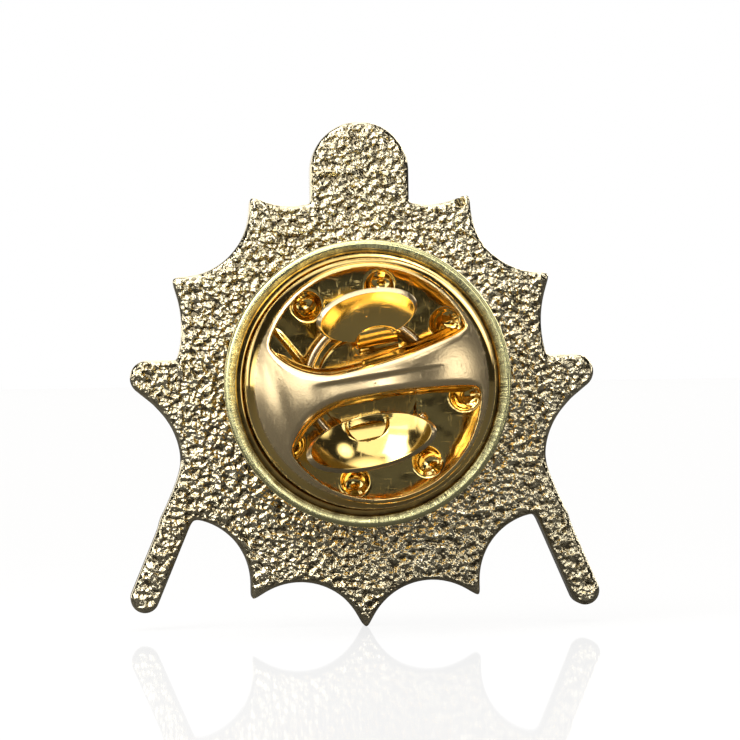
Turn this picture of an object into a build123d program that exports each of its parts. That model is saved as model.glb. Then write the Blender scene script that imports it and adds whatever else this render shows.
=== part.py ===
"""Sun-shaped lapel pin with a soldered post and a butterfly clutch.

Millimetres. The badge stands upright in the XZ plane as it is worn: its back lies on Y = 0 and
faces -Y, its front faces +Y, and Z is up. The origin is where the post's axis meets the back.
The clutch sits on the post at -Y, turned a little about the post, as a pressed-on clutch does.
"""

import os
from math import cos, radians, sin, sqrt

from build123d import *

os.makedirs("parts", exist_ok=True)

# ---------------------------------------------------------------- driving dimensions
# Badge outline, given as X and Z
SUN_CENTRE_Z = -0.7
# Rays of the right half from the bottom up: degrees, tip radius, radius of the hollow above the ray
RIGHT_RAYS = [
    (-90, 9.78, 7.7),
    (-60, 9.78, 7.72),
    (-30, 9.88, 7.72),
    (0, 8.6, 7.75),
    (33.5, 9.4, 8.0),
    (61.8, 9.7, 8.3),
]
TOP_RAY = (90, 9.88)
RAY_TIP_ROUND = 0.18
HEAD_CENTRE_Z = 8.65
HEAD_RADIUS = 2.0
EAR_CORNERS = [(6.9, 1.06), (10.72, 1.06), (6.6, -2.31), (6.4, -0.5)]
EAR_ROUND = 0.7
LEG_WIDTH = 1.16
LEG_TIP = (8.98, -8.6)
LEG_LEAN = 23  # degrees from upright
LEG_LENGTH = 7.9
LEG_ROOT_CORNER = (6.95, -5.6)  # where a leg's inner side leaves the sun
LEG_ROOT_ROUND = 0.45
CORNER_REACH = 0.05  # a corner this near to a listed place is that corner
ROOT_REACH = 0.7

# Badge thickness and its front relief
BADGE_THICKNESS = 1.5
ENAMEL_FLOOR = 1.0
ENAMEL_TOP = 1.42
FIELD_SCALE = 0.845  # the ray fields' outline is the sun's, this much smaller
FIELD_INNER_RADIUS = 4.75
RIDGE_WIDTH = 0.36
RING_FIELD_OUTER = 4.15
RING_FIELD_INNER = 2.35
BOSS_RADIUS = RING_FIELD_INNER
BOSS_RISE = 0.35
HEAD_FIELD_RADIUS = 1.4

# Post, its pad and the solder that holds it
POST_RADIUS = 0.55
POST_LENGTH = 6.4
POST_POINT = 0.8
POST_TIP_RADIUS = 0.12
GROOVE_RADIUS = 0.45
GROOVE_WIDTH = 0.32
GROOVE_PLACE = 5.2
PAD_RADIUS = 1.3
PAD_THICKNESS = 0.3
SEAT_RADIUS = 1.5
SEAT_DEPTH = 0.35
SOLDER_RISE = 0.55
SOLDER_EDGE = 0.04
SOLDER_HOLLOW = 0.9

# Clutch: heights are counted from the disc's cloth side, away from the badge
CLUTCH_TURN = 11.5  # degrees, right end of the strap up
CLOTH_GAP = 2.4
SHEET = 0.25
DISC_RADIUS = 5.75
RIM_ROUND = 0.42
EYE_RADIUS = 0.72
FUNNEL_RADIUS = 1.2
FUNNEL_RISE = 0.45
DIMPLE_COUNT = 8
DIMPLE_CIRCLE = 3.95
DIMPLE_RADIUS = 0.6
DIMPLE_DEPTH = 0.26
DIMPLE_SHEET = 0.15
DIMPLE_PHASE = 25.5
DIMPLE_ZONE = 5.03  # the disc is flat inside up to here

# Cap: a dome on a wall, with two windows that leave a strap between them
WALL_RADIUS = 4.98
FLANGE_RADIUS = 5.42
FLANGE_LOW = 0.295
DOME_RADIUS = 6.5
CAP_HEIGHT = 4.85
SHOULDER_ROUND = 0.9
WINDOW_RADIUS = 4.56
STRAP_SHIFT = 0.17
STRAP_WAIST = (-1.2, 0.58)  # along the strap, and half the strap's width there
WINDOW_LEFT = (-3.67, 2.12)
WINDOW_RIGHT = (4.12, 1.22)
WINDOW_CORNER = 0.3
# How far each corner moves along the strap and towards it as its window grows by 1
WINDOW_LEFT_GROWTH = (-0.85, 0.5)
WINDOW_RIGHT_GROWTH = (0.5, 0.85)
LIP_THICKNESS = 0.3
LIP_DEPTH = 0.55
LIP_LOW = 2.0
LIP_REACH = 4.4
LIP_BEVEL = 0.18
SKIN = 0.02  # an edge deeper than this in the cap is not on its outside

# Wings: spoon-shaped finger plates with a neck down to the jaw that grips the post
SPOON_RADIUS = 3.2
SPOON_CENTRE = (0, 1.2, 6.5)
SPOON_MIDDLE = 2.52
SPOON_HALF_LENGTH = 2.5
SPOON_HALF_WIDTH = 1.1
NECK_HALF_WIDTH = 0.8
NECK_SHIFT = 0.55
NECK_PATH = [(0.9, 1.075), (1.42, 1.075), (1.3, 2.75), (1.62, 3.16), (2.0, 3.27)]
NECK_BENDS = 0.16
JAW_LOW = 0.95
JAW_RADIUS = 2.0
JAW_GAP = 0.06
JAW_NOTCH_RADIUS = 0.57

# Open wire ring that pulls the two jaws together
SPRING_RADIUS = 2.5
SPRING_WIRE = 0.4
SPRING_HEIGHT = 1.72
SPRING_OPENING = 40  # degrees

# ---------------------------------------------------------------- frames
BACKWARD = (0, -1, 0)
POST_AXIS = Axis((0, 0, 0), BACKWARD)
STRAP = (cos(radians(CLUTCH_TURN)), 0, sin(radians(CLUTCH_TURN)))
ACROSS = (-sin(radians(CLUTCH_TURN)), 0, cos(radians(CLUTCH_TURN)))


def reverse(vector):
    return tuple(-part for part in vector)


def badge_level(depth):
    """Sketch plane of X and Z at this depth in front of the back face, its normal to the back."""
    return Plane.XZ.offset(-depth)


def clutch_level(height, turned=False):
    """Sketch plane of strap and across at this height in the clutch, its normal to the back."""
    along = reverse(STRAP) if turned else STRAP
    return Plane((0, -CLOTH_GAP - height, 0), x_dir=along, z_dir=BACKWARD)


def clutch_section(turned=False):
    """Upright plane through the post, across the strap: x runs across, y is the height."""
    across, along = (reverse(ACROSS), reverse(STRAP)) if turned else (ACROSS, STRAP)
    return Plane((0, -CLOTH_GAP, 0), x_dir=across, z_dir=along)


# Plane of a turned profile: x is the radius and y the distance behind the badge
TURNING = Plane((0, 0, 0), x_dir=(1, 0, 0), z_dir=(0, 0, -1))
CLUTCH_TURNING = Plane((0, -CLOTH_GAP, 0), x_dir=(1, 0, 0), z_dir=(0, 0, -1))


def polar(radius, degrees, centre_z=0.0):
    return radius * cos(radians(degrees)), centre_z + radius * sin(radians(degrees))


def all_rays():
    """Angle, tip and hollow of every ray in turn; the left half mirrors the right."""
    above = [TOP_RAY] + [(angle, tip) for angle, tip, _ in RIGHT_RAYS[:0:-1]]
    hollows = [hollow for _, _, hollow in reversed(RIGHT_RAYS)]
    left = [(180 - angle, tip, hollow) for (angle, tip), hollow in zip(above, hollows)]
    return RIGHT_RAYS + left


def scalloped_sun(scale=1.0):
    """Face of the sun: pointed rays with a hollow arc between each pair."""
    with BuildSketch() as sun:
        with BuildLine():
            rays = all_rays()
            for (angle, tip, hollow), (next_angle, next_tip, _) in zip(rays, rays[1:] + rays[:1]):
                middle = angle + (next_angle - angle) % 360 / 2
                ThreePointArc(
                    polar(scale * tip, angle, SUN_CENTRE_Z),
                    polar(scale * hollow, middle, SUN_CENTRE_Z),
                    polar(scale * next_tip, next_angle, SUN_CENTRE_Z),
                )
        make_face()
    return sun.sketch


def near(corners, places, reach=CORNER_REACH):
    """The corners that lie within reach of one of the places, on either side of the badge."""
    return [
        corner
        for corner in corners
        if any(Vector(abs(corner.X) - x, corner.Y - z).length < reach for x, z in places)
    ]


def badge_outline():
    """Face of the whole badge: sun, head, two ears and two legs."""
    free_tips = [polar(tip, angle, SUN_CENTRE_Z) for angle, tip, _ in RIGHT_RAYS if abs(angle) > 30]
    leg_rise = LEG_LENGTH / 2 * cos(radians(LEG_LEAN))
    leg_run = LEG_LENGTH / 2 * sin(radians(LEG_LEAN))
    with BuildSketch() as badge:
        add(scalloped_sun())
        fillet(near(vertices(), free_tips), RAY_TIP_ROUND)
        with Locations((0, HEAD_CENTRE_Z)):
            Circle(HEAD_RADIUS)
        with Locations((0, HEAD_CENTRE_Z - HEAD_RADIUS / 2)):
            Rectangle(2 * HEAD_RADIUS, HEAD_RADIUS)
        for side in (1, -1):
            with BuildLine():
                Polyline([(side * x, z) for x, z in EAR_CORNERS], close=True)
            make_face()
            with Locations((side * (LEG_TIP[0] - leg_run), LEG_TIP[1] + leg_rise)):
                SlotCenterToCenter(LEG_LENGTH, LEG_WIDTH, rotation=90 + side * LEG_LEAN)
        fillet(near(vertices(), EAR_CORNERS[1:2]), EAR_ROUND)
        fillet(near(vertices(), [LEG_ROOT_CORNER], ROOT_REACH), LEG_ROOT_ROUND)
    return badge.sketch


def ray_fields():
    """Faces of the sunk fields, one between each pair of ridges."""
    with BuildSketch() as fields:
        add(scalloped_sun(FIELD_SCALE))
        with Locations((0, SUN_CENTRE_Z)):
            Circle(FIELD_INNER_RADIUS, mode=Mode.SUBTRACT)
        for angle, tip, _ in all_rays():
            with Locations(polar(tip / 2, angle, SUN_CENTRE_Z)):
                Rectangle(tip, RIDGE_WIDTH, rotation=angle, mode=Mode.SUBTRACT)
    return fields.sketch


def ring_field():
    """Face of the round field about the centre boss."""
    with BuildSketch() as field:
        with Locations((0, SUN_CENTRE_Z)):
            Circle(RING_FIELD_OUTER)
            Circle(RING_FIELD_INNER, mode=Mode.SUBTRACT)
    return field.sketch


def head_field():
    """Face of the round field in the head."""
    with BuildSketch() as field:
        with Locations((0, HEAD_CENTRE_Z)):
            Circle(HEAD_FIELD_RADIUS)
    return field.sketch


FIELDS = {"enamel_rays": ray_fields, "enamel_ring": ring_field, "enamel_head": head_field}

# ---------------------------------------------------------------- badge
with BuildPart() as badge_plate:
    with BuildSketch(badge_level(BADGE_THICKNESS)):
        add(badge_outline())
    extrude(amount=BADGE_THICKNESS)
    for draw_field in FIELDS.values():
        with BuildSketch(badge_level(BADGE_THICKNESS)):
            add(draw_field())
        extrude(amount=BADGE_THICKNESS - ENAMEL_FLOOR, mode=Mode.SUBTRACT)
    # Low dome on the centre boss
    dome_radius = (BOSS_RADIUS**2 + BOSS_RISE**2) / (2 * BOSS_RISE)
    with BuildSketch(Plane((0, 0, SUN_CENTRE_Z), x_dir=(1, 0, 0), z_dir=(0, 0, 1))):
        with BuildLine():
            Line((0, BADGE_THICKNESS), (0, BADGE_THICKNESS + BOSS_RISE))
            RadiusArc((0, BADGE_THICKNESS + BOSS_RISE), (BOSS_RADIUS, BADGE_THICKNESS), dome_radius)
            Line((BOSS_RADIUS, BADGE_THICKNESS), (0, BADGE_THICKNESS))
        make_face()
    revolve(axis=Axis((0, 0, SUN_CENTRE_Z), (0, 1, 0)))
    # Round seat for the post's pad
    with BuildSketch(badge_level(0)):
        Circle(SEAT_RADIUS)
    extrude(amount=-SEAT_DEPTH, mode=Mode.SUBTRACT)
badge_plate.part.label = "badge_plate"
export_step(badge_plate.part, "parts/badge_plate.step")

# Enamel: each field is filled to just under the metal
for field_name, draw_field in FIELDS.items():
    with BuildPart() as enamel:
        with BuildSketch(badge_level(ENAMEL_TOP)):
            add(draw_field())
        extrude(amount=ENAMEL_TOP - ENAMEL_FLOOR)
    enamel.part.label = field_name
    export_step(enamel.part, f"parts/{field_name}.step")

# ---------------------------------------------------------------- post and solder
groove_start = GROOVE_PLACE - GROOVE_WIDTH / 2
groove_end = GROOVE_PLACE + GROOVE_WIDTH / 2
pad_back = PAD_THICKNESS - SEAT_DEPTH

with BuildPart() as pin_post:
    with BuildSketch(TURNING):
        with BuildLine():
            Polyline(
                (0, -SEAT_DEPTH),
                (PAD_RADIUS, -SEAT_DEPTH),
                (PAD_RADIUS, pad_back),
                (POST_RADIUS, pad_back),
                (POST_RADIUS, groove_start),
                (GROOVE_RADIUS, groove_start + POST_RADIUS - GROOVE_RADIUS),
                (GROOVE_RADIUS, groove_end - POST_RADIUS + GROOVE_RADIUS),
                (POST_RADIUS, groove_end),
                (POST_RADIUS, POST_LENGTH - POST_POINT),
                (POST_TIP_RADIUS, POST_LENGTH),
                (0, POST_LENGTH),
                close=True,
            )
        make_face()
    revolve(axis=POST_AXIS)
pin_post.part.label = "pin_post"
export_step(pin_post.part, "parts/pin_post.step")

with BuildPart() as solder_fillet:
    with BuildSketch(TURNING):
        with BuildLine():
            Polyline(
                (POST_RADIUS, SOLDER_RISE),
                (POST_RADIUS, pad_back),
                (PAD_RADIUS, pad_back),
                (PAD_RADIUS, -SEAT_DEPTH),
                (SEAT_RADIUS, -SEAT_DEPTH),
                (SEAT_RADIUS, -SOLDER_EDGE),
            )
            RadiusArc((SEAT_RADIUS, -SOLDER_EDGE), (POST_RADIUS, SOLDER_RISE), SOLDER_HOLLOW)
        make_face()
    revolve(axis=POST_AXIS)
solder_fillet.part.label = "solder_fillet"
export_step(solder_fillet.part, "parts/solder_fillet.step")

# ---------------------------------------------------------------- clutch disc
rim_middle = DISC_RADIUS - RIM_ROUND
rim_hollow = RIM_ROUND - SHEET

with BuildPart() as clutch_disc:
    with BuildSketch(CLUTCH_TURNING):
        with BuildLine():
            Line((EYE_RADIUS, FUNNEL_RISE), (FUNNEL_RADIUS, 0))
            Line((FUNNEL_RADIUS, 0), (rim_middle, 0))
            ThreePointArc((rim_middle, 0), (DISC_RADIUS, RIM_ROUND), (rim_middle, 2 * RIM_ROUND))
            Line((rim_middle, 2 * RIM_ROUND), (rim_middle, 2 * RIM_ROUND - SHEET))
            ThreePointArc(
                (rim_middle, 2 * RIM_ROUND - SHEET),
                (rim_middle + rim_hollow, RIM_ROUND),
                (rim_middle, SHEET),
            )
            Line((rim_middle, SHEET), (FUNNEL_RADIUS + SHEET / 2, SHEET))
            Line((FUNNEL_RADIUS + SHEET / 2, SHEET), (EYE_RADIUS + SHEET / 2, FUNNEL_RISE + SHEET))
            Line((EYE_RADIUS + SHEET / 2, FUNNEL_RISE + SHEET), (EYE_RADIUS, FUNNEL_RISE))
        make_face()
    revolve(axis=POST_AXIS)
    # Dimples pressed towards the cloth: a ball bump outside and a ball hollow inside
    ball_outer = (DIMPLE_RADIUS**2 + DIMPLE_DEPTH**2) / (2 * DIMPLE_DEPTH)
    ball_place = clutch_level(ball_outer - DIMPLE_DEPTH)
    with Locations(ball_place):
        with PolarLocations(DIMPLE_CIRCLE, DIMPLE_COUNT, start_angle=DIMPLE_PHASE):
            Sphere(ball_outer)
        with PolarLocations(DIMPLE_CIRCLE, DIMPLE_COUNT, start_angle=DIMPLE_PHASE):
            Sphere(ball_outer - DIMPLE_SHEET, mode=Mode.SUBTRACT)
    # Nothing of the balls stays above the sheet
    with BuildSketch(clutch_level(SHEET)):
        Circle(DIMPLE_ZONE)
        Circle(FUNNEL_RADIUS + SHEET, mode=Mode.SUBTRACT)
    extrude(amount=CAP_HEIGHT, mode=Mode.SUBTRACT)
clutch_disc.part.label = "clutch_disc"
export_step(clutch_disc.part, "parts/clutch_disc.step")


# ---------------------------------------------------------------- clutch cap
def dome_block(inset, bottom=0.0):
    """Solid dome on a straight wall, this far inside the cap's outer surface."""
    centre = Plane((0, -CLOTH_GAP - CAP_HEIGHT + DOME_RADIUS, 0), x_dir=(0, 1, 0), z_dir=ACROSS)
    with BuildPart() as dome:
        with BuildSketch(clutch_level(bottom)):
            Circle(WALL_RADIUS - inset)
        extrude(amount=CAP_HEIGHT)
        with Locations(centre):
            Sphere(DOME_RADIUS - inset, mode=Mode.INTERSECT)
        shoulder = edges().filter_by(GeomType.CIRCLE).sort_by(POST_AXIS)[-1]
        fillet(shoulder, SHOULDER_ROUND - inset)
    return dome.part


def window_face(side, grow=0.0):
    """Face of one window: two hollow arcs along the strap and a round outer edge."""
    waist, left, right = [
        (x + grow * out, side * (y - grow * down) + STRAP_SHIFT)
        for (x, y), (out, down) in (
            (STRAP_WAIST, (0, 1)),
            (WINDOW_LEFT, WINDOW_LEFT_GROWTH),
            (WINDOW_RIGHT, WINDOW_RIGHT_GROWTH),
        )
    ]
    with BuildSketch() as window:
        with BuildLine():
            TangentArc(waist, left, tangent=(-1, 0))
            TangentArc(waist, right, tangent=(1, 0))
            ThreePointArc(right, (0, side * (WINDOW_RADIUS + grow)), left)
        make_face()
        corners = vertices().sort_by(Axis.X)
        fillet([corners[0], corners[-1]], WINDOW_CORNER + grow)
    return window.sketch


# What is empty inside the cap: the windows keep a turned-down lip along the strap
with BuildPart() as cap_hollow:
    add(dome_block(SHEET))
    for side in (1, -1):
        with BuildSketch(clutch_level(LIP_LOW)):
            add(window_face(side, LIP_THICKNESS))
            Circle(LIP_REACH, mode=Mode.INTERSECT)
        extrude(amount=CAP_HEIGHT, mode=Mode.SUBTRACT)
    add(dome_block(LIP_DEPTH))

under_skin = dome_block(SKIN)

with BuildPart() as clutch_cap:
    add(dome_block(0, FLANGE_LOW))
    with BuildSketch(clutch_level(FLANGE_LOW)):
        Circle(FLANGE_RADIUS)
    extrude(amount=SHEET)
    add(cap_hollow.part, mode=Mode.SUBTRACT)
    for side in (1, -1):
        with BuildSketch(clutch_level(0)):
            add(window_face(side))
        extrude(amount=CAP_HEIGHT, mode=Mode.SUBTRACT)
    window_edges = [
        edge
        for edge in edges()
        if not under_skin.is_inside(edge @ 0.5)
        and LIP_LOW < -(edge @ 0.5).Y - CLOTH_GAP
        and Vector((edge @ 0.5).X, (edge @ 0.5).Z).length < WINDOW_RADIUS + LIP_BEVEL
    ]
    chamfer(window_edges, LIP_BEVEL)
clutch_cap.part.label = "clutch_cap"
export_step(clutch_cap.part, "parts/clutch_cap.step")

# ---------------------------------------------------------------- wings
for wing_name, turned in (("upper_wing", False), ("lower_wing", True)):
    level = clutch_level(0, turned)
    section = clutch_section(turned)
    with BuildPart() as wing:
        # Spoon: a ball shell trimmed to an oval
        with Locations(level):
            with Locations(SPOON_CENTRE):
                Sphere(SPOON_RADIUS + SHEET)
                Sphere(SPOON_RADIUS, mode=Mode.SUBTRACT)
        with BuildSketch(level):
            with Locations((0, SPOON_MIDDLE)):
                Ellipse(SPOON_HALF_LENGTH, SPOON_HALF_WIDTH)
        extrude(amount=SPOON_CENTRE[2], mode=Mode.INTERSECT)
        # Neck: a bent strip from the jaw up into the spoon
        with BuildSketch(section.offset(NECK_SHIFT)):
            with BuildLine():
                FilletPolyline(NECK_PATH, radius=NECK_BENDS)
                offset(amount=SHEET / 2)
            make_face()
        extrude(amount=NECK_HALF_WIDTH, both=True)
        # Jaw: half a disc with a notch for the post
        with BuildSketch(clutch_level(JAW_LOW, turned)):
            Circle(JAW_RADIUS)
            with Locations((0, JAW_GAP + JAW_RADIUS / 2)):
                Rectangle(2 * JAW_RADIUS, JAW_RADIUS, mode=Mode.INTERSECT)
            Circle(JAW_NOTCH_RADIUS, mode=Mode.SUBTRACT)
        extrude(amount=SHEET)
    wing.part.label = wing_name
    export_step(wing.part, f"parts/{wing_name}.step")

# ---------------------------------------------------------------- spring
with BuildPart() as grip_spring:
    with BuildSketch(Plane((0, -CLOTH_GAP - SPRING_HEIGHT, 0), x_dir=STRAP, z_dir=ACROSS)):
        with Locations((SPRING_RADIUS, 0)):
            Circle(SPRING_WIRE / 2)
    revolve(axis=POST_AXIS, revolution_arc=360 - SPRING_OPENING)
grip_spring.part.label = "grip_spring"
export_step(grip_spring.part, "parts/grip_spring.step")
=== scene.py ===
# %% [markdown]
# # A sun-shaped lapel pin with a butterfly clutch
# The object is a small die-cast badge, 20 mm high, shown from behind. A post soldered to its back goes
# through the cloth, and a pressed-brass clutch grips the post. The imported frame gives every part's place,
# and each visible surface is then made again here, finer than a CAD mesh, on the same body.

import math

import bmesh
import bpy
import numpy as np
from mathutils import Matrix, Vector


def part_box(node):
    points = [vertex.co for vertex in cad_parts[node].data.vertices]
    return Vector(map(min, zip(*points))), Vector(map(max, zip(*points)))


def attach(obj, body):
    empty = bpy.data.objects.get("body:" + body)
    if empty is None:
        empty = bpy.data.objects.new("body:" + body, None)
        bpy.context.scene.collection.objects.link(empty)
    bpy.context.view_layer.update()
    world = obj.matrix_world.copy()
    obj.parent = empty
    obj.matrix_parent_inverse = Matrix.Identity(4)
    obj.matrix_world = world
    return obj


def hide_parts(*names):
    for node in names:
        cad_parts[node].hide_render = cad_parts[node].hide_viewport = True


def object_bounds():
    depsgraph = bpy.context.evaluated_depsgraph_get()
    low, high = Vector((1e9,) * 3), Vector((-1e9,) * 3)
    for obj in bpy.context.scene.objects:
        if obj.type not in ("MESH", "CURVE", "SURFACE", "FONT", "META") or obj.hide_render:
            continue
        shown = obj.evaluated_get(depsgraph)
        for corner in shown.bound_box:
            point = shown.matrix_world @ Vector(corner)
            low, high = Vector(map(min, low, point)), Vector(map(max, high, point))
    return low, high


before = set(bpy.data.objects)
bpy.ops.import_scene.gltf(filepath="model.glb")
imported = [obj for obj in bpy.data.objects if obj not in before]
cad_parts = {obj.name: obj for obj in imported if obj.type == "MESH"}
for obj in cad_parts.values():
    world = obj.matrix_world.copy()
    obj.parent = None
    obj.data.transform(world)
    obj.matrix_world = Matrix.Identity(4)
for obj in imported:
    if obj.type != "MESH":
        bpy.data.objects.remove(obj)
cad_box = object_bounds()
MM = 0.001

# %% [markdown]
# ## Where things are
# The badge stands in the XZ plane with its back on Y = 0, facing -Y. The clutch has a frame of its own:
# along the strap, across it, and the height away from the badge. Radii and heights come from the boxes of
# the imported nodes, in millimetres, because the rest of this lesson counts in millimetres.

# %% Places read from the frame
box_mm = {name: [np.array(corner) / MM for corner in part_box(name)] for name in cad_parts}
ENAMEL_TOP = box_mm["enamel_rays"][1][1]
PLATE_FRONT = ENAMEL_TOP + 0.08
POST_END = -box_mm["pin_post"][0][1]
DISC_RADIUS = box_mm["clutch_disc"][1][0]
DISC_TOP = -box_mm["clutch_disc"][0][1]
RIM_ROUND = 0.42
DISC_LEVEL = DISC_TOP - 2 * RIM_ROUND
CAP_HEIGHT = -box_mm["clutch_cap"][0][1] - DISC_LEVEL
FLANGE_RADIUS = box_mm["clutch_cap"][1][0]
CLUTCH_TURN = math.radians(11.5)
ALONG = np.array([math.cos(CLUTCH_TURN), 0.0, math.sin(CLUTCH_TURN)])
ACROSS = np.array([-math.sin(CLUTCH_TURN), 0.0, math.cos(CLUTCH_TURN)])
BACKWARD = np.array([0.0, -1.0, 0.0])
print("disc level", round(DISC_LEVEL, 3), "cap height", round(CAP_HEIGHT, 3), "post end", round(POST_END, 3))

# %% [markdown]
# ## Helpers for surfaces
# Every piece is a grid of points worked out as whole arrays. A grid can be a profile carried round the
# post, a height over a plan, or a shell. These helpers join a grid into faces, cut it along an outline,
# and close what is left open, so that each piece is one clean skin.


# %% Grids and faces
def grid_faces(rows, columns, wrap=False):
    """Corner numbers of the four-sided cells of a grid; wrap joins the last column to the first."""
    number = np.arange(rows * columns).reshape(rows, columns)
    if wrap:
        number = np.concatenate([number, number[:, :1]], axis=1)
    corners = (number[:-1, :-1], number[1:, :-1], number[1:, 1:], number[:-1, 1:])
    return np.stack(corners, axis=-1).reshape(-1, 4)


def ring_faces(rows, columns):
    """Cells of a grid that closes on itself both ways, as a ring's skin does."""
    faces = grid_faces(rows + 1, columns, wrap=True)
    return np.where(faces >= rows * columns, faces - rows * columns, faces)


def smooth_step(start, end, value):
    """0 up to start, 1 from end, and the cubic 3t^2 - 2t^3 of the way between them."""
    way = np.clip((value - start) / (end - start), 0, 1)
    return way * way * (3 - 2 * way)


def trimmed(plan, faces, outside, margin=0.012):
    """Cuts a grid along the line where outside(plan) is 0, and keeps the side below 0.

    Cells with no point inside go. A point left outside, or nearly, slides down the slope of outside
    until its value is 0, which takes three steps of value times slope.
    """
    value = outside(plan)
    faces = faces[(value[faces] < -margin).any(axis=1)]
    used, faces = np.unique(faces, return_inverse=True)
    plan, value, faces = plan[used].copy(), value[used], faces.reshape(-1, 4)
    loose = value > -margin
    step = 1e-4
    for _ in range(3):
        here = outside(plan[loose])
        slope = np.stack([
            (outside(plan[loose] + [step, 0]) - here) / step,
            (outside(plan[loose] + [0, step]) - here) / step,
        ], axis=1)
        length = np.maximum((slope**2).sum(axis=1), 0.2)
        plan[loose] -= (here / length)[:, None] * slope
    return plan, faces, used


def open_edges(faces):
    """Edges that only one face has, each in that face's direction."""
    edges = np.stack([faces, np.roll(faces, -1, axis=1)], axis=-1).reshape(-1, 2)
    _, which, count = np.unique(np.sort(edges, axis=1), axis=0, return_inverse=True, return_counts=True)
    return edges[count[which.reshape(-1)] == 1]


# %% Turning a grid into a piece
def make_piece(name, points, faces, body, stands_for=(), finish=None, merge=False, **attributes):
    """A smooth mesh object from points in millimetres, riding on a body of the frame."""
    mesh = bpy.data.meshes.new(name)
    mesh.vertices.add(len(points))
    mesh.vertices.foreach_set("co", (np.asarray(points) * MM).ravel())
    mesh.loops.add(faces.size)
    mesh.loops.foreach_set("vertex_index", faces.ravel().astype(np.int32))
    mesh.polygons.add(len(faces))
    mesh.polygons.foreach_set("loop_start", np.arange(len(faces), dtype=np.int32) * faces.shape[1])
    mesh.update(calc_edges=True)
    for key, values in attributes.items():
        mesh.attributes.new(key, "FLOAT", "POINT").data.foreach_set("value", values.astype(np.float32))
    mesh.validate()
    if merge:
        work = bmesh.new()
        work.from_mesh(mesh)
        bmesh.ops.remove_doubles(work, verts=work.verts, dist=merge * MM)
        bmesh.ops.dissolve_degenerate(work, edges=work.edges, dist=1e-7)
        work.to_mesh(mesh)
        work.free()
    mesh.polygons.foreach_set("use_smooth", np.ones(len(mesh.polygons), dtype=bool))
    mesh.update()
    piece = bpy.data.objects.new(name, mesh)
    bpy.context.scene.collection.objects.link(piece)
    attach(piece, body)
    if stands_for:
        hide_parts(*stands_for)
    print(name, len(mesh.vertices), "points", len(mesh.polygons), "faces")
    return piece


def facing_out(points, faces):
    """The same faces of a closed skin, turned so that the volume inside comes out positive."""
    a, b, c, d = (points[faces[:, corner]] for corner in range(4))
    volume = (np.cross(c - a, d - b) * (a + b + c + d)).sum()
    return faces if volume > 0 else faces[:, ::-1]


def clutch_points(along, across, height):
    """Points of the clutch's own frame, height counted from the disc, in the object's frame."""
    level = np.asarray(height) + DISC_LEVEL
    return along[..., None] * ALONG + across[..., None] * ACROSS + level[..., None] * BACKWARD


def turned(profile, columns):
    """Carries a closed profile of (radius, height) round the post; returns along, across, height."""
    angle = np.linspace(0, 2 * np.pi, columns, endpoint=False)
    radius, height = profile[:, 0, None], profile[:, 1, None]
    return radius * np.cos(angle), radius * np.sin(angle), height + 0 * angle


def arc(centre, radius, start, end, count):
    """Points of a round stretch from one angle to another, in degrees."""
    angle = np.radians(np.linspace(start, end, count))
    return np.stack([centre[0] + radius * np.cos(angle), centre[1] + radius * np.sin(angle)], axis=1)


def run(start, end, pitch):
    """Points of a straight stretch, both ends included, at about this pitch."""
    count = max(2, int(np.ceil(np.hypot(*np.subtract(end, start)) / pitch)) + 1)
    return np.linspace(start, end, count)


def joined(*stretches):
    """One profile from stretches that meet, without the doubled points."""
    points = np.concatenate([np.atleast_2d(stretch) for stretch in stretches])
    keep = np.r_[True, np.hypot(*np.diff(points, axis=0).T) > 1e-5]
    return points[keep]


# %% [markdown]
# ## The badge's outline
# The casting is a twelve-rayed sun with a round head, two rounded ears and two slim legs. Such an outline
# could be a drawn curve, but then the pebbled back would need cutting to it. Here it is a distance: a
# formula that says how far a point is outside the metal, negative inside. Unions are smallest values,
# and a soft smallest value rounds the inner corners as the casting's mould does.

# %% Outline as a distance
SUN_CENTRE = np.array([0.0, -0.7])
# Rays of the right half from the bottom up: degrees, tip radius, radius of the hollow above the ray
RIGHT_RAYS = [
    (-90, 9.78, 7.7), (-60, 9.78, 7.72), (-30, 9.88, 7.72), (0, 8.6, 7.75),
    (33.5, 9.4, 8.0), (61.8, 9.7, 8.3), (90, 9.88, 8.3),
]
RAY_SOFTNESS, UNION_SOFTNESS, LEG_ROOT_SOFTNESS = 0.17, 0.04, 0.1
HEAD_CENTRE, HEAD_RADIUS = np.array([0.0, 8.65]), 2.0
EAR_CORNERS, EAR_ROUND = np.array([(5.85, 0.36), (8.75, 0.36), (5.85, -2.01)]), 0.7
LEG_TIP, LEG_LEAN, LEG_LENGTH, LEG_HALF_WIDTH = np.array([8.98, -8.6]), math.radians(23), 7.9, 0.58
LEG_ROOT = LEG_TIP + LEG_LENGTH * np.array([-math.sin(LEG_LEAN), math.cos(LEG_LEAN)])


def soft_max(values, softness):
    """Largest of several values, rounded where two are near: softness * log of the summed exponentials."""
    values = np.stack(values)
    top = values.max(axis=0)
    return top + softness * np.log(np.exp((values - top) / softness).sum(axis=0))


def soft_min(values, softness):
    return -soft_max([-value for value in values], softness)


def to_segment(plan, start, end):
    """Distance from points to a straight segment."""
    line = end - start
    way = np.clip(((plan - start) @ line) / (line @ line), 0, 1)
    return np.linalg.norm(plan - start - way[:, None] * line, axis=1)


def hollow_circle(first, middle, last):
    """Centre and radius of the circle through three points, from the two half-way lines."""
    sides = np.array([middle - first, last - first])
    centre = first + np.linalg.solve(2 * sides, (sides**2).sum(axis=1))
    return centre, np.linalg.norm(centre - first)


def on_ray(degrees, radius):
    """Place at this radius from the sun's centre, in this direction."""
    return SUN_CENTRE + radius * np.array([math.cos(math.radians(degrees)), math.sin(math.radians(degrees))])


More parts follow.
